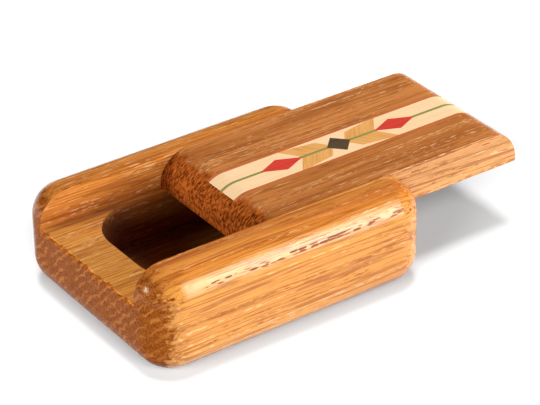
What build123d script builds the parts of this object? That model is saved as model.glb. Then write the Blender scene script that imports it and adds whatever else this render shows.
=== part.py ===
"""Keepsake box routed from one block of hardwood, with a sliding dovetail lid.

Body and lid are rounded over together, with the lid shut, so they share one outline. The lid carries a
banding of separate veneers let into its top, and a pair of disc magnets holds it shut.
Millimetres, +Z up. The origin is the middle of the flat underside, and +X is the way the lid opens.
"""

import os
from math import radians, tan

from build123d import *

# Block
body_length = 73.0
body_width = 57.0
body_height = 24.5
edge_radius = 7.2
corner_extra = 1.0  # how much rounder the upright corners are than the other edges

# Sliding dovetail
rail_width = 9.9
channel_depth = 8.5
dovetail_angle = 5.0
lid_clearance = 0.1  # on each side of the lid
lid_drawn = 32.0  # how far the lid stands open
land_ease = 0.6  # rounding where the channel floor runs out at the ends

# Cavity
end_land = 9.8
side_land = 1.6
floor_thickness = 4.4
cavity_corner_radius = 12.0

# Magnets
magnet_diameter = 6.0
magnet_thickness = 2.0
magnet_glue_gap = 0.1
magnet_recess = 0.2

# Banding
banding_depth = 1.2
banding_width = 9.7
banding_shift_x = -0.8  # the motif's middle from the lid's middle
banding_shift_y = -0.8
border_width = 0.8
string_width = 0.8
diamond_length = 6.6
diamond_width = 6.8
lozenge_length = 11.6
lozenge_width = 5.2
lozenge_spacing = 16.0  # from the diamond's middle
leaf_angle = 35.0  # of a leaf's slanted sides, from straight across
leaf_root = 1.9  # length that a leaf has along the border
leaf_shoulder = 1.25  # from a leaf's inner corner to the border
leaf_nose = 0.55  # length that a leaf has along the diamond, measured across the lid

# Sizes that follow
corner_radius = edge_radius + corner_extra
channel_floor = body_height - channel_depth
channel_top_width = body_width - 2 * rail_width
channel_bottom_width = channel_top_width + 2 * channel_depth * tan(radians(dovetail_angle))
cavity_length = body_length - 2 * end_land
cavity_width = channel_bottom_width - 2 * side_land
cavity_radius = min(cavity_corner_radius, 0.49 * cavity_width, 0.49 * cavity_length)
magnet_place = (body_length - end_land) / 2
magnet_bore_radius = magnet_diameter / 2 + magnet_glue_gap
banding_floor = body_height - banding_depth
groove_width = banding_width + 2 * border_width

os.makedirs("parts", exist_ok=True)


def save(piece: BuildPart, name: str) -> None:
    """Labels a finished piece and writes it to its own file."""
    piece.part.label = name
    export_step(piece.part, f"parts/{name}.step")


def dovetail(gap: float) -> None:
    """Draws the dovetail's section in the open sketch, narrower by a gap on each side."""
    top = channel_top_width / 2 - gap
    bottom = channel_bottom_width / 2 - gap
    outline = [(-bottom, channel_floor), (bottom, channel_floor), (top, body_height), (-top, body_height)]
    Polygon(*outline, align=None)


# Block, rounded over all round
with BuildPart() as block:
    with BuildSketch():
        RectangleRounded(body_length, body_width, corner_radius)
    extrude(amount=body_height)
    levels = block.edges().group_by(Axis.Z)
    fillet(levels[0] + levels[-1], edge_radius)
drawn_block = block.part.moved(Location((lid_drawn, 0, 0)))

# Body: the block less the channel, the cavity and the magnet's bore
with BuildPart() as box_body:
    add(block.part)
    with BuildSketch(Plane.YZ):
        dovetail(0)
    extrude(amount=body_length / 2, both=True, mode=Mode.SUBTRACT)
    channel_face = box_body.faces().filter_by(Axis.Z).sort_by(Axis.Z)[1]  # the next above the underside
    fillet(channel_face.edges().filter_by(Axis.Y), land_ease)
    with BuildSketch(Plane.XY.offset(floor_thickness)):
        RectangleRounded(cavity_length, cavity_width, cavity_radius)
    extrude(amount=channel_floor - floor_thickness, mode=Mode.SUBTRACT)
    with Locations((magnet_place, 0, channel_floor)):
        Hole(magnet_bore_radius, magnet_thickness + magnet_recess)
save(box_body, "box_body")

# Lid: what the dovetail takes out of the block, with a groove for the banding and a bore for its magnet
with BuildPart() as lid_panel:
    add(drawn_block)
    with BuildSketch(Plane.YZ.offset(lid_drawn)):
        dovetail(lid_clearance)
    extrude(amount=body_length / 2, both=True, mode=Mode.INTERSECT)
    with BuildSketch(Plane((lid_drawn, banding_shift_y, banding_floor))):
        Rectangle(body_length, groove_width)
    extrude(amount=banding_depth, mode=Mode.SUBTRACT)
    with Locations(Plane((lid_drawn + magnet_place, 0, channel_floor), z_dir=(0, 0, -1))):
        Hole(magnet_bore_radius, magnet_thickness + magnet_recess)
save(lid_panel, "lid_panel")

# Magnets, face to face when the lid is shut
magnet_floors = {
    "body_magnet": (magnet_place, channel_floor - magnet_recess - magnet_thickness),
    "lid_magnet": (magnet_place + lid_drawn, channel_floor + magnet_recess),
}
for magnet_name, (magnet_x, magnet_floor) in magnet_floors.items():
    with BuildPart() as magnet:
        with BuildSketch(Plane((magnet_x, 0, magnet_floor))):
            Circle(magnet_diameter / 2)
        extrude(amount=magnet_thickness)
    save(magnet, magnet_name)


def veneer(name: str, outline: list[tuple[float, float]], end: int = 1, side: int = 1) -> None:
    """Makes one veneer of the banding, flush with the lid's top and with its rounded ends.

    The outline is drawn from the motif's middle, along the lid and across it, for the rear end and the far
    side. An end or side of -1 mirrors it to the front or the near side.
    """
    places = [(banding_shift_x + end * along, banding_shift_y + side * across) for along, across in outline]
    with BuildPart() as piece:
        with BuildSketch(Plane((lid_drawn, 0, banding_floor))):
            Polygon(*places, align=None)
        extrude(amount=banding_depth)
        add(drawn_block, mode=Mode.INTERSECT)
    save(piece, name)


def diamond_edge(across: float) -> float:
    """Distance along the lid from the motif's middle to the diamond's edge."""
    return diamond_length / 2 * (1 - across / (diamond_width / 2))


def lozenge_reach(across: float) -> float:
    """Half the lozenge's length at a distance across from its middle."""
    return lozenge_length / 2 * (1 - across / (lozenge_width / 2))


# Lines on which the veneers meet
half_band = banding_width / 2
half_string = string_width / 2
past_end = body_length  # beyond either end of the lid, where the round-over trims the veneers
slant = tan(radians(leaf_angle))
lozenge_tip = lozenge_spacing - lozenge_length / 2
leaf_tail = lozenge_tip + slant * half_band
leaf_base = lozenge_tip + slant * half_string
nose_across = half_string + leaf_nose
shoulder_across = half_band - leaf_shoulder
nose = (diamond_edge(nose_across), nose_across)
shoulder = (diamond_edge(nose_across) + slant * (shoulder_across - nose_across), shoulder_across)

diamond_outline = [
    (diamond_length / 2, 0),
    (0, diamond_width / 2),
    (-diamond_length / 2, 0),
    (0, -diamond_width / 2),
]
lozenge_outline = [
    (lozenge_tip, 0),
    (lozenge_spacing, lozenge_width / 2),
    (lozenge_spacing + lozenge_length / 2, 0),
    (lozenge_spacing, -lozenge_width / 2),
]
middle_string_outline = [
    (diamond_length / 2, 0),
    (diamond_edge(half_string), half_string),
    (lozenge_spacing - lozenge_reach(half_string), half_string),
    (lozenge_tip, 0),
    (lozenge_spacing - lozenge_reach(half_string), -half_string),
    (diamond_edge(half_string), -half_string),
]
end_string_outline = [
    (lozenge_spacing + lozenge_length / 2, 0),
    (lozenge_spacing + lozenge_reach(half_string), half_string),
    (past_end, half_string),
    (past_end, -half_string),
    (lozenge_spacing + lozenge_reach(half_string), -half_string),
]
leaf_outline = [
    (diamond_edge(half_string), half_string),
    (leaf_base, half_string),
    (leaf_tail, half_band),
    (leaf_tail - leaf_root, half_band),
    shoulder,
    nose,
]
end_ground_outline = [
    (leaf_base, half_string),
    (lozenge_spacing - lozenge_reach(half_string), half_string),
    (lozenge_spacing, lozenge_width / 2),
    (lozenge_spacing + lozenge_reach(half_string), half_string),
    (past_end, half_string),
    (past_end, half_band),
    (leaf_tail, half_band),
]
half_middle_ground = [nose, shoulder, (leaf_tail - leaf_root, half_band)]
middle_ground_outline = [
    (0, diamond_width / 2),
    *half_middle_ground,
    *[(-along, across) for along, across in reversed(half_middle_ground)],
]
border_outline = [
    (-past_end, half_band),
    (past_end, half_band),
    (past_end, half_band + border_width),
    (-past_end, half_band + border_width),
]

# Banding
ends = {"front": -1, "rear": 1}
sides = {"far": 1, "near": -1}
veneer("black_diamond", diamond_outline)
for end_name, end in ends.items():
    veneer(f"red_lozenge_{end_name}", lozenge_outline, end)
    veneer(f"stringing_{end_name}_middle", middle_string_outline, end)
    veneer(f"stringing_{end_name}_end", end_string_outline, end)
for side_name, side in sides.items():
    veneer(f"border_line_{side_name}", border_outline, 1, side)
    veneer(f"ground_middle_{side_name}", middle_ground_outline, 1, side)
    for end_name, end in ends.items():
        veneer(f"leaf_{end_name}_{side_name}", leaf_outline, end, side)
        veneer(f"ground_{end_name}_{side_name}", end_ground_outline, end, side)
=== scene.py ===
"""Finishes, studio and camera for a keepsake box with a sliding dovetail lid.

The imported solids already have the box's shape, so each keeps its mesh and gets the finish of the real piece:
an oiled open-pored hardwood, the natural and dyed veneers of the banding, and nickel-plated magnets. A white
table, soft lamps and a camera at the photograph's place stand around them.
Metres, +Z up. The grain and the lid's slide run along X.
"""

import logging
from collections.abc import Mapping, Sequence
from dataclasses import dataclass, field
from enum import Enum
from math import cos, pi, radians, sin
from typing import ClassVar

import bpy
import numpy as np
from mathutils import Matrix, Vector

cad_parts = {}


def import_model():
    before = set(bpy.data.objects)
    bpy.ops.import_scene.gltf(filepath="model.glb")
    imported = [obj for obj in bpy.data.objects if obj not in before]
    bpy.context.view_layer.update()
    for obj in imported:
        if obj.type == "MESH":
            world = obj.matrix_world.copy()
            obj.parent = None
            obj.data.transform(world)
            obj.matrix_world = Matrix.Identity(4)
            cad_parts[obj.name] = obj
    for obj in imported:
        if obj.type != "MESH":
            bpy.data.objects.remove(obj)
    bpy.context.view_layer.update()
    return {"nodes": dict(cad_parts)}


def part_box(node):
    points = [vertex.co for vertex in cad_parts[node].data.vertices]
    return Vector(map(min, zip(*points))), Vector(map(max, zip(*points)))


LOG = logging.getLogger("keepsake_box")
MM = 0.001

Colour = tuple[float, float, float]
Triple = tuple[float, float, float]


def paint(red: int, green: int, blue: int) -> Colour:
    """Turns a colour chip's 0 to 255 values into the linear values that shaders take.

    Args:
        red: Red of the chip.
        green: Green of the chip.
        blue: Blue of the chip.

    Returns:
        The linear colour, by the sRGB curve.
    """
    chip = np.array([red, green, blue]) / 255
    linear = np.where(chip <= 0.04045, chip / 12.92, ((chip + 0.055) / 1.055) ** 2.4)
    return tuple(float(part) for part in linear)


@dataclass(frozen=True)
class Lumps:
    """How a noise is made."""

    scale: Triple  # lumps to the millimetre along X, Y and Z
    detail: float = 2.0  # layers of finer noise on it
    rough: float = 0.5  # how strong the finer layers are


class Shade:
    """One socket of a material's nodes, on which sums are written as Python expressions."""

    def __init__(self, graph: "Graph", socket: bpy.types.NodeSocket) -> None:
        """Wraps a node's output socket."""
        self.graph = graph
        self.socket = socket

    def _math(self, operation: str, first: "Shade | float", second: "Shade | float") -> "Shade":
        """Adds a Math node.

        Args:
            operation: The node's operation.
            first: Its first value.
            second: Its second value.

        Returns:
            The node's result.
        """
        return self.graph.add("ShaderNodeMath", {"operation": operation}, {0: first, 1: second})[0]

    def __add__(self, other: "Shade | float") -> "Shade":
        """Sum."""
        return self._math("ADD", self, other)

    def __sub__(self, other: "Shade | float") -> "Shade":
        """Difference."""
        return self._math("SUBTRACT", self, other)

    def __rsub__(self, other: float) -> "Shade":
        """Difference from a number."""
        return self._math("SUBTRACT", other, self)

    def __mul__(self, other: "Shade | float") -> "Shade":
        """Product."""
        return self._math("MULTIPLY", self, other)

    def __abs__(self) -> "Shade":
        """Value without its sign."""
        return self._math("ABSOLUTE", self, 0.0)

    __radd__ = __add__
    __rmul__ = __mul__

    def sine(self) -> "Shade":
        """Sine of the value in radians."""
        return self._math("SINE", self, 0.0)

    def most(self, other: "Shade | float") -> "Shade":
        """The larger of two values."""
        return self._math("MAXIMUM", self, other)

    def rise(self, low: float, high: float) -> "Shade":
        """A smooth step of the value.

        Args:
            low: Where the step starts, at 0. It may lie above high for a step down.
            high: Where the step ends, at 1.

        Returns:
            The step, from 0 to 1.
        """
        settings = {"interpolation_type": "SMOOTHSTEP", "clamp": True}
        return self.graph.add("ShaderNodeMapRange", settings, {0: self, 1: low, 2: high})[0]


class Graph:
    """A material's nodes, from its surface back."""

    NORMAL, OBJECT = 1, 3
    MIX_FACTOR, MIX_FIRST, MIX_SECOND, MIX_RESULT = 0, 6, 7, 2

    def __init__(self, name: str) -> None:
        """Starts a material with an empty set of nodes.

        Args:
            name: The material's name.
        """
        self.material = bpy.data.materials.new(name)
        self.material.use_nodes = True
        self.tree = self.material.node_tree
        self.tree.nodes.clear()

    def add(
        self, kind: str, settings: Mapping[str, object], values: Mapping[str | int, object]
    ) -> list[Shade]:
        """Adds one node.

        Args:
            kind: The node's type.
            settings: Its settings, which are set first.
            values: A value or a link for each input socket that is named or numbered.

        Returns:
            The node's outputs, in their order.
        """
        node = self.tree.nodes.new(kind)
        for setting, value in settings.items():
            setattr(node, setting, value)
        for key, value in values.items():
            socket = node.inputs[key]
            if isinstance(value, Shade):
                self.tree.links.new(value.socket, socket)
            elif socket.type == "RGBA":
                socket.default_value = (*value, 1.0)
            else:
                socket.default_value = value
        return [Shade(self, socket) for socket in node.outputs]

    def place(self, shift: Triple = (0.0, 0.0, 0.0), turn: float = 0.0) -> tuple[Shade, Shade, Shade]:
        """Gives the place on the piece.

        Args:
            shift: Added to the place, in millimetres.
            turn: Degrees that the pattern is turned about Z.

        Returns:
            The place along X, Y and Z, in millimetres.
        """
        values = {
            "Vector": self.add("ShaderNodeTexCoord", {}, {})[self.OBJECT],
            "Location": shift,
            "Rotation": (0.0, 0.0, radians(turn)),
            "Scale": (1 / MM,) * 3,
        }
        moved = self.add("ShaderNodeMapping", {}, values)[0]
        return tuple(self.add("ShaderNodeSeparateXYZ", {}, {0: moved}))

    def facing(self) -> tuple[Shade, Shade, Shade]:
        """Gives the way the surface faces on the piece, along X, Y and Z."""
        normal = self.add("ShaderNodeTexCoord", {}, {})[self.NORMAL]
        return tuple(self.add("ShaderNodeSeparateXYZ", {}, {0: normal}))

    def point(self, place: Sequence[Shade], scale: Triple) -> Shade:
        """Scales the three values of a place and joins them into a point."""
        x, y, z = (value * share for value, share in zip(place, scale))
        return self.add("ShaderNodeCombineXYZ", {}, {0: x, 1: y, 2: z})[0]

    def noise(self, place: Sequence[Shade], lumps: Lumps) -> Shade:
        """Gives smooth noise.

        Args:
            place: Where it is read, along X, Y and Z.
            lumps: How it is made.

        Returns:
            The noise, about 0.5.
        """
        values = {
            "Vector": self.point(place, lumps.scale),
            "Scale": 1.0,
            "Detail": lumps.detail,
            "Roughness": lumps.rough,
        }
        return self.add("ShaderNodeTexNoise", {}, values)[0]

    def cells(self, place: Sequence[Shade], scale: Triple) -> tuple[Shade, Shade]:
        """Gives scattered cells.

        Args:
            place: Where they are read, along X, Y and Z.
            scale: Cells to the millimetre along X, Y and Z.

        Returns:
            The distance to the nearest cell's middle, and a number that is that cell's own.
        """
        values = {"Vector": self.point(place, scale), "Scale": 1.0}
        distance, colour = self.add("ShaderNodeTexVoronoi", {}, values)[:2]
        return distance, self.add("ShaderNodeSeparateColor", {}, {0: colour})[0]

    def mix(self, share: Shade | float, first: Shade | Colour, second: Shade | Colour) -> Shade:
        """Mixes two colours.

        Args:
            share: How much of the second colour there is.
            first: The first colour.
            second: The second colour.

        Returns:
            The mixed colour.
        """
        values = {self.MIX_FACTOR: share, self.MIX_FIRST: first, self.MIX_SECOND: second}
        return self.add("ShaderNodeMix", {"data_type": "RGBA"}, values)[self.MIX_RESULT]

    def tint(self, share: Shade, colour: Shade, filter_colour: Colour) -> Shade:
        """Multiplies a colour by another.

        Args:
            share: How much of the change there is.
            colour: The colour.
            filter_colour: What it is multiplied by.

        Returns:
            The tinted colour.
        """
        values = {self.MIX_FACTOR: share, self.MIX_FIRST: colour, self.MIX_SECOND: filter_colour}
        settings = {"data_type": "RGBA", "blend_type": "MULTIPLY"}
        return self.add("ShaderNodeMix", settings, values)[self.MIX_RESULT]

    def bump(self, height: Shade, depth: float, strength: float) -> Shade:
        """Turns a height into a normal.

        Args:
            height: The height, from 0 to 1.
            depth: Millimetres that a height of 1 stands for.
            strength: How much of it shows.

        Returns:
            The normal.
        """
        values = {"Strength": strength, "Distance": depth * MM, "Height": height}
        return self.add("ShaderNodeBump", {}, values)[0]

    def finish(self, surface: Shade) -> bpy.types.Material:
        """Puts a shader on the material's surface and returns the material."""
        self.add("ShaderNodeOutputMaterial", {}, {"Surface": surface})
        return self.material


class Grain:
    """What the parts of a board's pattern share: values at each of its points, in millimetres.

    The noises are far longer along the board than across it, because the fibres run along it.
    """

    SWAY = Lumps((0.014, 0.05, 0.05), 1.0)  # slow wander of the fibres
    BANDS = Lumps((0.010, 0.16, 0.26), 2.0, 0.6)  # broad bands of colour
    GROWTH = Lumps((0.016, 0.42, 0.52), 2.0, 0.55)  # growth layers
    FIBRE = Lumps((0.05, 2.4, 2.4), 4.0, 0.78)  # bundles of fibres
    FINE = Lumps((0.12, 3.6, 3.6), 3.0, 0.7)  # single fibres
    CLUMP = Lumps((0.10, 2.1, 1.3), 3.0, 0.7)  # coarse specks of end grain
    KINK = Lumps((0.05, 0.5, 0.7), 2.0, 0.6)  # bends in the lines of end grain
    PATCH = Lumps((0.02, 0.20, 0.30))  # patches with and without such lines
    SWAY_WIDTH = 3.0

    def __init__(self, graph: Graph, wood: "Hardwood") -> None:
        """Reads the place, the way the surface faces and the noises.

        Args:
            graph: The material's nodes.
            wood: The wood, for where in the tree the board was cut and for the piece's heights.
        """
        self.graph = graph
        self.place = graph.place(wood.shift)
        x, y, z = self.place
        self.side_x, self.side_y, self.side_z = graph.facing()
        sway = (graph.noise(self.place, self.SWAY) - 0.5) * self.SWAY_WIDTH
        across = y + sway
        self.layer = z + wood.layer_tilt * y
        layers = (x, across, self.layer + sway)
        self.bands = graph.noise(layers, self.BANDS)
        self.growth = graph.noise(layers, self.GROWTH)
        self.fibres = (x, across, z)
        self.fibre = graph.noise(self.fibres, self.FIBRE)
        self.fine = graph.noise(self.fibres, self.FINE)
        self.clump = graph.noise(self.place, self.CLUMP)
        self.kink = graph.noise(self.place, self.KINK) - 0.5
        self.patch = graph.noise(self.place, self.PATCH)

        self.above = z - wood.shift[2]  # height over the table
        self.from_middle = abs(x - (wood.shift[0] + wood.middle))  # distance along the board
        self.from_axis = abs(y - wood.shift[1])  # distance across the board
        self.far = y.rise(wood.shift[1] - 5.0, wood.shift[1] + 15.0)  # share of the far side
        self.side = abs(self.side_y).rise(0.35, 0.85)  # share of a face that looks to a side
        self.clear = self.above.rise(1.0, 3.0)  # share of what isn't the block's underside
        self.rail = self.above.rise(wood.land + 1.5, wood.land + 4.0)  # share of the rails
        below_rail = self.above.rise(wood.land + 1.0, wood.land + 0.2)
        self.routed = self.side_z.rise(0.30, 0.60) * below_rail * self.clear  # share of the channel's floor


@dataclass(frozen=True)
class Hardwood:
    """Oiled open-pored hardwood, whose growth layers lie at a slant in the board.

    The pattern is solid: it runs round every edge, long faces show its length and end faces its section.
    Lengths are in millimetres.
    """

    STRAND: ClassVar[Lumps] = Lumps((0.02, 2.0, 2.0), 1.0)  # strands of fine pores
    DASH: ClassVar[Lumps] = Lumps((0.45, 2.2, 2.2))  # what breaks the strands into dashes
    RIPPLE: ClassVar[Lumps] = Lumps((0.02, 0.22, 0.22), 2.0, 0.6)  # waves of the end grain's lines
    PORE_CELLS: ClassVar[Triple] = (0.40, 1.8, 1.8)  # large pores to the millimetre

    name: str
    shift: Triple  # where in the tree the board was cut
    pale: Colour
    deep: Colour
    streak: Colour
    near_painted_light: Colour  # painted light: a paler colour on the near sides and the channel's floor
    end_pale: Colour
    end_deep: Colour
    end_line: Colour
    pore: Colour  # open pores
    fleck_and_glint: Colour  # filled pores, and painted glints where more of them show on the far sides
    middle: float = 0.0  # of the piece along X
    half_length: float = 36.5
    land: float = 16.0  # height of the channel's floor
    top: float = 24.5  # height of the rails
    layer_tilt: float = 0.95  # rise of the layers across the board
    grain_lean: float = 0.15  # how far the fibres lean out of the board's length
    ring_height: float = -5.6  # of a porous layer at the board's middle
    ring_pitch: float = 8.5
    end_line_pitch: float = 2.6
    end_lines: float = 0.65  # how strongly the pale lines of the end grain show
    end_clumps: float = 0.0  # how coarse the end grain is
    cavity: Triple | None = None  # half the cavity's length and width, and its rim's height
    cavity_painted_shade: Colour = (0.6, 0.55, 0.5)  # painted shade: what is left of the colour inside the cavity
    pore_rows: float = 1.0  # how strongly the rows of open pores show
    sheen: float = 0.45  # of a long face
    sheen_tint: Colour = (1.0, 0.94, 0.84)
    gloss: float = 0.15  # roughness of a long face
    flat_satin: float = 0.70  # how much rougher the flat top is than the rounded edges
    channel_satin: float = 0.35  # how much rougher the routed channel is
    end_gloss: float = 0.14
    end_sheen: float = 0.02
    tip_polish: float = 0.0  # of the end grain above the channel's floor
    end_start: float = 0.56  # how far a surface turns to the end before its grain is end grain
    end_rim: float = 0.3  # how far into the end grain its edge is as dark as a pore
    edge_painted_light: Colour = (1.35, 1.33, 1.4)  # painted light: how much paler the eased edge of the channel's floor is made
    rear_painted_shade: Colour = (1.0, 1.0, 1.0)  # painted shade: what is left of the rear end's colour, toned down

    def end_grain(self, grain: Grain) -> Shade:
        """Finds the end grain, where a surface faces the board's end far enough.

        Noise frays its edge. It starts sooner where a rail runs out, and in lobes at the ends of the
        channel's floor.

        Args:
            grain: What the pattern's parts share.

        Returns:
            The share of end grain, from 0 to 1.
        """
        fray = (grain.clump - 0.5) * 0.6 + (grain.fine - 0.5) * 0.3 + grain.kink * 0.8
        run_out = grain.from_middle.rise(self.half_length - 2.5, self.half_length) * grain.rail
        scallop = grain.from_middle.rise(self.half_length - 1.8, self.half_length - 0.5)
        scallop *= grain.patch.rise(0.46, 0.58) * grain.routed
        turned = abs(grain.side_x - self.grain_lean) + fray + run_out * 0.45 + scallop * 0.6
        return turned.rise(self.end_start, self.end_start + 0.20)

    def pores(self, grain: Grain) -> tuple[Shade, Shade]:
        """Finds the pores: fine dashes along the fibres, and rows of long cells in the porous layers.

        A porous layer is a crest of a sine of the height in the layers. The dashes are filled where the growth
        noise is high. On the far sides more of them are pale, as painted glints, and on the near sides fewer.

        Args:
            grain: What the pattern's parts share.

        Returns:
            The shares of filled pores with painted glints, and of open pores, from 0 to 1.
        """
        strand = grain.graph.noise(grain.fibres, self.STRAND)
        dash = grain.graph.noise(grain.fibres, self.DASH)
        thin = strand.rise(0.54, 0.61) * dash.rise(0.51, 0.60)
        # Painted glints: the far sides get more pale flecks, and the near sides fewer, than the grain alone
        # gives.
        filled = (grain.growth - grain.side * (0.06 - 0.12 * grain.far)).rise(0.40, 0.48)
        flecks_and_glints = thin * filled * (0.40 + grain.side * grain.far * 0.10)
        ring_start = self.ring_height + self.shift[2] + self.layer_tilt * self.shift[1]
        turns = (grain.layer - ring_start) * (2 * pi / self.ring_pitch)
        ring = (turns + pi / 2).sine().rise(0.82, 0.94)
        distance, own = grain.graph.cells(grain.place, self.PORE_CELLS)
        rows = (distance - own * 0.16).rise(0.42, 0.33) * grain.side * ring
        rows *= grain.above.rise(9.0, 18.0) * (1.0 - 0.7 * grain.far) * self.pore_rows
        return flecks_and_glints, (thin * (1.0 - filled) * 0.7).most(rows)

    def long_tone(self, grain: Grain, flecks_and_glints: Shade) -> Shade:
        """Colours the long grain: broad bands, with painted light on the near sides and the channel's floor,
        streaks, pale fibres, lines, and filled pores and painted glints on them.

        A line is where the growth noise passes its middle value.

        Args:
            grain: What the pattern's parts share.
            flecks_and_glints: The share of filled pores and of painted glints.

        Returns:
            The colour.
        """
        lines = abs(grain.growth - 0.5).rise(0.045, 0.008) * grain.fibre.rise(0.30, 0.55)
        # Painted light: the near sides and the channel's floor are made paler.
        near_painted_light = (grain.side * (1.0 - grain.far)).most(grain.routed)
        marks = (
            (near_painted_light * 0.40, self.near_painted_light),
            (grain.fibre.rise(0.50, 0.30) * (0.70 + 0.30 * grain.far), self.streak),
            (grain.fibre.rise(0.54, 0.72) * 0.60, self.pale),
            (lines * 0.70, self.streak),
            (grain.fine.rise(0.46, 0.28) * 0.45, self.streak),
            (flecks_and_glints, self.fleck_and_glint),
        )
        tone = grain.graph.mix(grain.bands.rise(0.34, 0.66), self.deep, self.pale)
        for share, colour in marks:
            tone = grain.graph.mix(share, tone, colour)
        return tone

    def end_tone(self, grain: Grain, grit: Shade) -> Shade:
        """Colours the end grain: specks where the fibres end, waving lines, and painted shade on the rear end.

        A waving line is a crest of a sine of the height in the layers plus noise.

        Args:
            grain: What the pattern's parts share.
            grit: The noise of the specks.

        Returns:
            The colour.
        """
        graph = grain.graph
        ripple = graph.noise(grain.place, self.RIPPLE) - 0.5
        wave = grain.layer + 3.6 * ripple + 2.0 * grain.kink + 1.2 * grain.fine
        crest = (wave * (2 * pi / self.end_line_pitch)).sine()
        ridges = crest.rise(0.2, 1.0) * grain.patch.rise(0.32, 0.62) * self.end_lines
        tone = graph.mix(grit.rise(0.34, 0.66), self.end_deep, self.end_pale)
        tone = graph.mix(ridges, tone, self.end_line)
        # Painted shade: the end grain that faces the rear is toned down.
        return graph.tint(grain.side_x.rise(0.2, 0.8), tone, self.rear_painted_shade)

    def painted_light_edge(self, grain: Grain) -> Shade:
        """Finds the eased edges where the channel's floor runs out at the ends, which are painted paler as
        painted light.

        Args:
            grain: What the pattern's parts share.

        Returns:
            The share of painted light on the edge, from 0 to 1.
        """
        edge = grain.side_z.rise(0.1, 0.4)
        edge *= grain.from_middle.rise(self.half_length - 0.9, self.half_length - 0.4)
        edge *= grain.above.rise(self.land - 0.9, self.land - 0.4)
        return edge * grain.above.rise(self.land + 1.2, self.land + 0.6)

    def hollows(self, grain: Grain) -> tuple[Shade, Shade]:
        """Finds the insides of the cavity, which takes painted shade, and of the channel over it.

        Args:
            grain: What the pattern's parts share.

        Returns:
            The shares of cavity and of channel, from 0 to 1.
        """
        half_length, half_width, rim = self.cavity
        shaded_cavity = grain.from_middle.rise(half_length + 1.0, half_length)
        shaded_cavity *= grain.from_axis.rise(half_width + 1.0, half_width)
        shaded_cavity *= grain.clear * grain.above.rise(rim + 0.2, rim - 2.0)
        channel = grain.from_axis.rise(half_width + 2.0, half_width + 1.6)
        channel *= grain.clear * grain.above.rise(self.top - 0.3, self.top - 1.1)
        return shaded_cavity, channel

    def material(self) -> bpy.types.Material:
        """Builds the wood's nodes: polished long grain and matt end grain, mixed by where each shows.

        Open pores are matt too.

        Returns:
            The wood's material.
        """
        graph = Graph(self.name)
        grain = Grain(graph, self)
        end = self.end_grain(grain)
        flecks_and_glints, open_pores = self.pores(grain)
        grit = grain.fine + (grain.clump - grain.fine) * self.end_clumps
        painted_light_edge = self.painted_light_edge(grain)
        # Painted light: the eased edges of the channel's floor are made paler, in the long and the end grain.
        tone = graph.tint(painted_light_edge, self.long_tone(grain, flecks_and_glints), self.edge_painted_light)
        end_tone = graph.tint(painted_light_edge, self.end_tone(grain, grit), self.edge_painted_light)
        polish = self.gloss + (grain.fine - 0.5) * 0.16 + grain.side_z.rise(0.90, 0.99) * self.flat_satin
        if self.cavity:
            shaded_cavity, channel = self.hollows(grain)
            # Painted shade: the inside of the cavity is darkened.
            tone = graph.tint(shaded_cavity, tone, self.cavity_painted_shade)
            end_tone = graph.tint(shaded_cavity, end_tone, self.cavity_painted_shade)
            polish += channel * self.channel_satin
        gloss_face = {
            "Base Color": tone,
            "Roughness": polish,
            "Specular IOR Level": self.sheen,
            "Specular Tint": self.sheen_tint,
            "Normal": graph.bump(grain.fibre * 0.6 + grain.fine * 0.3, 0.12, 0.7),
        }
        matt_face = {
            "Base Color": graph.mix(end.rise(0.0, self.end_rim), self.pore, end_tone),
            "Roughness": self.end_gloss + (grain.fine - 0.5) * 0.12,
            "Specular IOR Level": self.end_sheen,
            "Coat Weight": grain.rail * end * self.tip_polish,
            "Coat Roughness": 0.2,
            "Normal": graph.bump(grit, 0.06, 0.5),
        }
        faces = [graph.add("ShaderNodeBsdfPrincipled", {}, face)[0] for face in (gloss_face, matt_face)]
        matt = end.most(open_pores * 0.95)
        return graph.finish(graph.add("ShaderNodeMixShader", {}, {0: matt, 1: faces[0], 2: faces[1]})[0])


@dataclass(frozen=True)
class Veneer:
    """Thin veneer let into the lid, rubbed down flush and oiled with it."""

    CLOUD: ClassVar[Lumps] = Lumps((0.15, 0.7, 0.7))

    name: str
    base: Colour
    line: Colour  # colour of its fine grain
    turn: float = 0.0  # degrees from the lid's length to the veneer's grain
    pitch: float = 0.32  # millimetres from line to line
    contrast: float = 0.5
    gloss: float = 0.38

    def material(self) -> bpy.types.Material:
        """Builds the veneer's nodes: fine long noise across the grain, under cloudier noise of the same way.

        Returns:
            The veneer's material.
        """
        graph = Graph(self.name)
        place = graph.place(turn=-self.turn)
        grain = graph.noise(place, Lumps((0.12, 1 / self.pitch, 0.8), 3.0, 0.6))
        cloud = graph.noise(place, self.CLOUD)
        lines = grain.rise(0.42, 0.70)
        colour = graph.mix(lines * self.contrast + (cloud - 0.5) * 0.4, self.base, self.line)
        surface = {
            "Base Color": colour,
            "Roughness": self.gloss + (grain - 0.5) * 0.2,
            "Specular IOR Level": 0.25,
            "Normal": graph.bump(grain, 0.04, 0.4),
        }
        return graph.finish(graph.add("ShaderNodeBsdfPrincipled", {}, surface)[0])


@dataclass(frozen=True)
class NickelPlate:
    """Nickel plate of the disc magnets, with the scuffs of grinding and a little tarnish."""

    CLOUD: ClassVar[Lumps] = Lumps((0.6, 0.6, 0.6), 3.0, 0.6)
    SCUFF: ClassVar[Lumps] = Lumps((1.5, 14.0, 3.0), 2.0, 0.6)

    name: str
    base: Colour
    tarnish: Colour

    def material(self) -> bpy.types.Material:
        """Builds the plate's nodes: noise for the tarnish and, finer, for the scuffs in its gloss.

        Returns:
            The plate's material.
        """
        graph = Graph(self.name)
        place = graph.place()
        cloud = graph.noise(place, self.CLOUD)
        scuff = graph.noise(place, self.SCUFF)
        surface = {
            "Base Color": graph.mix(cloud.rise(0.45, 0.75) * 0.6, self.base, self.tarnish),
            "Metallic": 1.0,
            "Roughness": 0.20 + scuff * 0.22,
            "Normal": graph.bump(scuff, 0.02, 0.3),
        }
        return graph.finish(graph.add("ShaderNodeBsdfPrincipled", {}, surface)[0])


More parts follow.
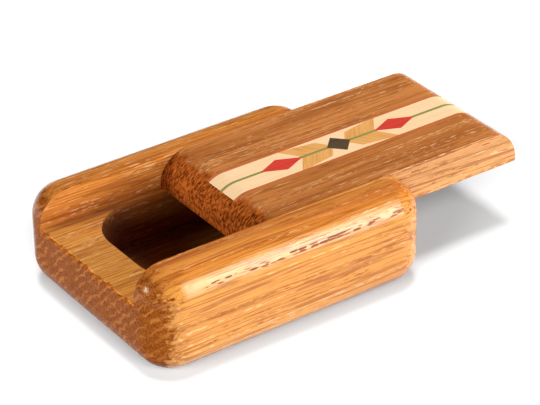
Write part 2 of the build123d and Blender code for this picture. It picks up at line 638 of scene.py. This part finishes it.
@dataclass(frozen=True)
class WhiteTable:
    """White table top. It is paler for the eye and in reflections than in the light that it throws back."""

    CAMERA_RAY, GLOSSY_RAY, TRANSMISSION_RAY = 0, 3, 6

    name: str
    base: Colour
    shown: Colour

    def material(self) -> bpy.types.Material:
        """Builds the table's nodes: a matt white, and a paler one on camera, glossy and transmitted rays.

        Returns:
            The table's material.
        """
        graph = Graph(self.name)
        rays = graph.add("ShaderNodeLightPath", {}, {})
        seen = rays[self.CAMERA_RAY].most(rays[self.GLOSSY_RAY]).most(rays[self.TRANSMISSION_RAY])
        base, shown = (
            graph.add("ShaderNodeBsdfDiffuse", {}, {"Color": colour})[0] for colour in (self.base, self.shown)
        )
        return graph.finish(graph.add("ShaderNodeMixShader", {}, {0: seen, 1: base, 2: shown})[0])


class Lean(Enum):
    """Which way a leaf's grain leans from straight across the lid, towards the rear or the front."""

    REAR = 1
    FRONT = -1


LEAF_ANGLE = 35.0

BODY_WOOD = Hardwood(
    name="body_hardwood",
    shift=(140.0, 31.0, 57.0),
    pale=paint(210, 134, 56),
    deep=paint(184, 104, 38),
    streak=paint(140, 66, 18),
    near_painted_light=paint(226, 166, 80),
    end_pale=paint(166, 92, 32),
    end_deep=paint(100, 44, 8),
    end_line=paint(194, 120, 54),
    pore=paint(122, 56, 20),
    fleck_and_glint=paint(246, 208, 156),
    cavity=(26.7, 17.9, 16.0),
    tip_polish=0.6,
)
LID_WOOD = Hardwood(
    name="lid_hardwood",
    shift=(420.0, 93.0, 11.0),
    pale=paint(196, 125, 67),
    deep=paint(164, 95, 44),
    streak=paint(134, 72, 32),
    near_painted_light=paint(236, 188, 130),
    end_pale=paint(190, 98, 36),
    end_deep=paint(76, 27, 5),
    end_line=paint(206, 120, 52),
    pore=paint(122, 48, 24),
    fleck_and_glint=paint(246, 208, 156),
    middle=32.0,
    layer_tilt=0.25,
    end_lines=0.1,
    end_clumps=1.0,
    pore_rows=0.5,
    sheen=0.12,
    end_gloss=0.6,
    end_start=0.40,
    end_rim=0.85,
    rear_painted_shade=(0.62, 0.74, 0.95),
)
BORDER_VENEER = Veneer("border_redwood", paint(190, 106, 60), paint(150, 74, 42))
GROUND_VENEER = Veneer("ground_whitewood", paint(243, 206, 161), paint(232, 182, 127), contrast=0.35)
STRING_VENEER = Veneer("string_green", paint(146, 144, 80), paint(108, 108, 56))
RED_VENEER = Veneer("lozenge_red", paint(208, 66, 54), paint(172, 40, 40), contrast=0.35)
BLACK_VENEER = Veneer("diamond_black", paint(88, 71, 52), paint(52, 42, 30))
LEAF_VENEERS = {
    lean: Veneer(
        f"leaf_tan_{lean.name.lower()}",
        paint(226, 165, 95),
        paint(184, 118, 52),
        turn=lean.value * (90.0 - LEAF_ANGLE),
        pitch=0.36,
        contrast=0.5,
    )
    for lean in Lean
}
NICKEL = NickelPlate("magnet_nickel", paint(196, 192, 184), paint(150, 142, 128))
TABLE_WHITE = WhiteTable("table_white", base=(0.09,) * 3, shown=(0.25,) * 3)


@dataclass
class Dressing:
    """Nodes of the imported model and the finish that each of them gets."""

    nodes: Mapping[str, bpy.types.Object]
    made: dict[str, bpy.types.Material] = field(default_factory=dict)

    def dress(self, node: str, finish: Hardwood | Veneer | NickelPlate) -> None:
        """Gives one node a finish, and makes the finish's material the first time.

        Args:
            node: The node's name.
            finish: Its finish.
        """
        if finish.name not in self.made:
            self.made[finish.name] = finish.material()
        mesh = self.nodes[node].data
        mesh.materials.clear()
        mesh.materials.append(self.made[finish.name])
        LOG.info("%s: %s", node, finish.name)


@dataclass
class Box:
    """The block with its cavity and channel, and its magnet."""

    dressing: Dressing

    def dress(self) -> None:
        """Dresses the block and its magnet."""
        self.dressing.dress("box_body", BODY_WOOD)
        self.dressing.dress("body_magnet", NICKEL)


@dataclass
class SlidingLid:
    """The lid, its magnet and the banding in its top."""

    dressing: Dressing
    ends: Sequence[str] = ("front", "rear")
    sides: Sequence[str] = ("far", "near")

    def dress(self) -> None:
        """Dresses the lid's panel and magnet, then the banding."""
        self.dressing.dress("lid_panel", LID_WOOD)
        self.dressing.dress("lid_magnet", NICKEL)
        self.dress_banding()

    def dress_banding(self) -> None:
        """Dresses the veneers. The grain of a leaf runs along its slanted sides."""
        self.dressing.dress("black_diamond", BLACK_VENEER)
        for end in self.ends:
            self.dressing.dress(f"red_lozenge_{end}", RED_VENEER)
            for stretch in ("middle", "end"):
                self.dressing.dress(f"stringing_{end}_{stretch}", STRING_VENEER)
        for side in self.sides:
            self.dressing.dress(f"border_line_{side}", BORDER_VENEER)
            self.dressing.dress(f"ground_middle_{side}", GROUND_VENEER)
            for end in self.ends:
                lean = Lean.REAR if (end == "rear") == (side == "far") else Lean.FRONT
                self.dressing.dress(f"leaf_{end}_{side}", LEAF_VENEERS[lean])
                self.dressing.dress(f"ground_{end}_{side}", GROUND_VENEER)


class Reach(Enum):
    """What a lamp lights: one object alone, or everything but that object."""

    ONLY = "INCLUDE"
    ALL_BUT = "EXCLUDE"


def towards(azimuth: float, elevation: float) -> Vector:
    """Gives a direction.

    Args:
        azimuth: Degrees from -Y towards +X.
        elevation: Degrees above the table.

    Returns:
        The unit vector that points there.
    """
    turn, lift = radians(azimuth), radians(elevation)
    return Vector((sin(turn) * cos(lift), -cos(turn) * cos(lift), sin(lift)))


def hang(lamp: bpy.types.Object, reach: Reach, target: bpy.types.Object) -> None:
    """Puts a lamp into the scene, unseen by the camera.

    Args:
        lamp: The lamp.
        reach: What the lamp lights.
        target: The object that the reach is about.
    """
    lamp.visible_camera = False
    bpy.context.scene.collection.objects.link(lamp)
    receivers = bpy.data.collections.new(f"{lamp.name}_receivers")
    receivers.objects.link(target)
    receivers.collection_objects[0].light_linking.link_state = reach.value
    lamp.light_linking.receiver_collection = receivers
    LOG.info("%s: %.1f", lamp.name, lamp.data.energy)


@dataclass
class Softbox:
    """A softbox that looks at the box's middle."""

    name: str
    azimuth: float  # degrees from -Y towards +X
    elevation: float
    distance: float
    width: float
    height: float
    watts: float
    mirrored: bool = False  # whether it shows in the block's polish and lights nothing, or the reverse
    tint: Colour = (1.0, 1.0, 1.0)  # of its light

    def build(self, aim: Vector, table: bpy.types.Object, block: bpy.types.Object) -> None:
        """Hangs the softbox.

        Args:
            aim: The point that it looks at.
            table: The table top, which it leaves alone.
            block: The block, which alone mirrors it.
        """
        light = bpy.data.lights.new(self.name, "AREA")
        light.shape = "RECTANGLE"
        light.size, light.size_y = self.width, self.height
        light.energy = self.watts
        light.color = self.tint
        lamp = bpy.data.objects.new(self.name, light)
        lamp.visible_glossy = self.mirrored
        lamp.visible_diffuse = not self.mirrored
        back = towards(self.azimuth, self.elevation)
        lamp.location = aim + back * self.distance
        lamp.rotation_euler = back.to_track_quat("Z", "Y").to_euler()
        if self.mirrored:
            hang(lamp, Reach.ONLY, block)
        else:
            hang(lamp, Reach.ALL_BUT, table)


@dataclass
class Skylight:
    """A far broad light that falls on the table alone and gives it the box's soft shadow."""

    name: str
    azimuth: float  # degrees from -Y towards +X
    elevation: float
    spread: float  # degrees across
    strength: float

    def build(self, table: bpy.types.Object) -> None:
        """Hangs the light over the table top.

        Args:
            table: The table top, which alone it lights.
        """
        light = bpy.data.lights.new(self.name, "SUN")
        light.angle = radians(self.spread)
        light.energy = self.strength
        lamp = bpy.data.objects.new(self.name, light)
        lamp.rotation_euler = towards(self.azimuth, self.elevation).to_track_quat("Z", "Y").to_euler()
        hang(lamp, Reach.ONLY, table)


@dataclass
class Studio:
    """White table, dim world and soft lamps."""

    aim: Vector
    block: bpy.types.Object
    reach: float = 12.0  # half the table's side
    steps: int = 24
    world_colour: Colour = (1.0, 0.98, 0.95)
    world_level: float = 0.02

    def table(self) -> bpy.types.Object:
        """Builds the table top.

        Returns:
            A flat square grid at the height of the box's underside: X and Y are the two parameters.
        """
        along = np.linspace(-self.reach, self.reach, self.steps + 1)
        x, y = np.meshgrid(along, along, indexing="ij")
        points = np.stack([x, y, np.zeros_like(x)], axis=-1).reshape(-1, 3)
        index = np.arange(points.shape[0]).reshape(x.shape)
        faces = np.stack([index[:-1, :-1], index[1:, :-1], index[1:, 1:], index[:-1, 1:]], axis=-1)
        mesh = bpy.data.meshes.new("table")
        mesh.from_pydata(points.tolist(), [], faces.reshape(-1, 4).tolist())
        mesh.materials.append(TABLE_WHITE.material())
        table = bpy.data.objects.new("table", mesh)
        bpy.context.scene.collection.objects.link(table)
        return table

    def build(self) -> None:
        """Sets the table, the world and the lamps."""
        scene = bpy.context.scene
        scene.view_settings.view_transform = "Standard"
        table = self.table()
        world = bpy.data.worlds.new("studio")
        world.use_nodes = True
        sky = world.node_tree.nodes["Background"].inputs
        sky["Color"].default_value = (*self.world_colour, 1.0)
        sky["Strength"].default_value = self.world_level
        scene.world = world
        softboxes = (
            Softbox("key", 52.0, 8.5, distance=1.20, width=1.65, height=0.36, watts=22.0),
            Softbox("front", -18.0, 13.0, distance=1.20, width=1.50, height=0.18, watts=13.0),
            Softbox("left", -108.0, 22.0, distance=1.10, width=0.40, height=0.40, watts=9.4),
            Softbox("fill", 105.0, 42.0, distance=1.20, width=0.52, height=0.52, watts=12.6),
            Softbox("sheen", 35.0, 25.0, distance=1.20, width=0.26, height=0.78, watts=15.5, mirrored=True),
            Softbox(
                "spark", -112.0, 21.0, distance=1.10, width=0.22, height=0.22, watts=4.4, mirrored=True,
                tint=(1.0, 0.84, 0.62),
            ),
        )
        for softbox in softboxes:
            softbox.build(self.aim, table, self.block)
        skylights = (
            Skylight("sky_above", 150.0, 85.0, spread=19.0, strength=6.4),
            Skylight("sky_front", -15.0, 30.0, spread=40.0, strength=11.6),
            Skylight("sky_left", -75.0, 20.0, spread=40.0, strength=12.4),
        )
        for skylight in skylights:
            skylight.build(table)


@dataclass
class PhotoCamera:
    """The photograph's camera, from a fit of the box's edges to it."""

    azimuth: float = -34.915
    elevation: float = 31.077
    roll: float = -0.703
    distance: float = 0.56844
    shift_right: float = 0.010137
    shift_up: float = 0.006281
    focal_pixels: float = 2528.98
    image_width: float = 540.0
    sensor: float = 36.0

    def build(self, middle: Vector) -> None:
        """Places the camera.

        Args:
            middle: The middle of the shut box, which the view is measured from.
        """
        back = towards(self.azimuth, self.elevation)
        tip = radians(self.roll)
        level = Vector((0, 0, 1)).cross(back).normalized()
        upright = back.cross(level)
        right = cos(tip) * level + sin(tip) * upright
        up = cos(tip) * upright - sin(tip) * level
        data = bpy.data.cameras.new("photo_camera")
        data.sensor_width = self.sensor
        data.lens = self.focal_pixels / self.image_width * self.sensor
        data.clip_start, data.clip_end = 0.05, 20.0
        camera = bpy.data.objects.new("photo_camera", data)
        place = middle + back * self.distance + right * self.shift_right + up * self.shift_up
        camera.matrix_world = Matrix.Translation(place) @ Matrix((right, up, back)).transposed().to_4x4()
        bpy.context.scene.collection.objects.link(camera)
        bpy.context.scene.camera = camera


def main() -> None:
    """Loads the frame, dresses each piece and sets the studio."""
    logging.basicConfig(level=logging.INFO, format="%(name)s: %(message)s")
    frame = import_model()
    dressing = Dressing(frame["nodes"])
    Box(dressing).dress()
    SlidingLid(dressing).dress()
    low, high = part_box("box_body")
    middle = (low + high) / 2
    Studio(middle, frame["nodes"]["box_body"]).build()
    PhotoCamera().build(middle)


if __name__ == "__main__":
    main()
